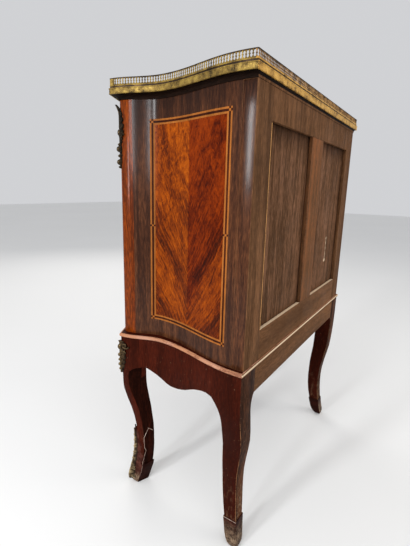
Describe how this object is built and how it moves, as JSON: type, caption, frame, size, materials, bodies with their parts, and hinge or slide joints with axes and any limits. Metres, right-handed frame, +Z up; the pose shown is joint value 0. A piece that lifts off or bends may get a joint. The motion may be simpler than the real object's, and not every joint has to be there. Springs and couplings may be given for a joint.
{
  "type": "chest of drawers",
  "caption": "Tall chest of drawers with serpentine sides on cabriole legs, a brass gallery round the top, bronze mounts at the front corners and drawers that slide forwards.",
  "frame": {"origin": "on the floor, under the middle of the piece's bounding box", "axes": "+X to the right as one faces the drawers, +Y to the back, +Z up; the drawers open towards -Y"},
  "size_m": [0.7602, 0.4212, 1.06],
  "materials": {
    "veneer": "gloss",
    "marquetry": "gloss",
    "dark_wood": "satin",
    "back_wood": "matte",
    "carcass_wood": "matte",
    "drawer_wood": "matte",
    "brass": "aged satin",
    "bronze": "patinated"
  },
  "bodies": {
    "carcass": {"top_board": "veneer", "top_cove": "dark_wood", "top_band": "brass", "gallery": "brass", "front_post_right": "veneer", "front_post_left": "veneer", "rear_post_right": "dark_wood", "rear_post_left": "dark_wood", "side_panel_right": "marquetry", "side_panel_left": "marquetry", "back_top_rail": "back_wood", "back_bottom_rail": "back_wood", "back_muntin": "back_wood", "back_panel_right": "back_wood", "back_panel_left": "back_wood", "bottom_board": "carcass_wood", "dust_board_lower": "carcass_wood", "dust_board_upper": "carcass_wood", "carcass_top_board": "carcass_wood", "base_moulding": "dark_wood", "front_apron": "veneer", "back_apron": "back_wood", "side_apron_right": "dark_wood", "side_apron_left": "dark_wood", "leg_front_right": "dark_wood", "leg_front_left": "dark_wood", "leg_rear_right": "dark_wood", "leg_rear_left": "dark_wood", "sabot_front_right": "bronze", "sabot_front_left": "bronze", "sabot_rear_right": "bronze", "sabot_rear_left": "bronze", "knee_mount_right": "bronze", "knee_mount_left": "bronze", "corner_mount_right": "bronze", "corner_mount_left": "bronze"},
    "drawer_1": {"drawer_1_front": "marquetry", "drawer_1_side_right": "drawer_wood", "drawer_1_side_left": "drawer_wood", "drawer_1_back": "drawer_wood", "drawer_1_bottom": "drawer_wood", "drawer_1_handle_right": "bronze", "drawer_1_handle_left": "bronze", "drawer_1_escutcheon": "bronze"},
    "drawer_2": {"drawer_2_front": "marquetry", "drawer_2_side_right": "drawer_wood", "drawer_2_side_left": "drawer_wood", "drawer_2_back": "drawer_wood", "drawer_2_bottom": "drawer_wood", "drawer_2_handle_right": "bronze", "drawer_2_handle_left": "bronze", "drawer_2_escutcheon": "bronze"},
    "drawer_3": {"drawer_3_front": "marquetry", "drawer_3_side_right": "drawer_wood", "drawer_3_side_left": "drawer_wood", "drawer_3_back": "drawer_wood", "drawer_3_bottom": "drawer_wood", "drawer_3_handle_right": "bronze", "drawer_3_handle_left": "bronze", "drawer_3_escutcheon": "bronze"}
  },
  "joints": [
    {"name": "drawer_1_slide", "type": "slide", "parent": "carcass", "child": "drawer_1", "axis": [0, -1, 0], "range_m": [0, 0.27]},
    {"name": "drawer_2_slide", "type": "slide", "parent": "carcass", "child": "drawer_2", "axis": [0, -1, 0], "range_m": [0, 0.27]},
    {"name": "drawer_3_slide", "type": "slide", "parent": "carcass", "child": "drawer_3", "axis": [0, -1, 0], "range_m": [0, 0.27]}
  ]
}
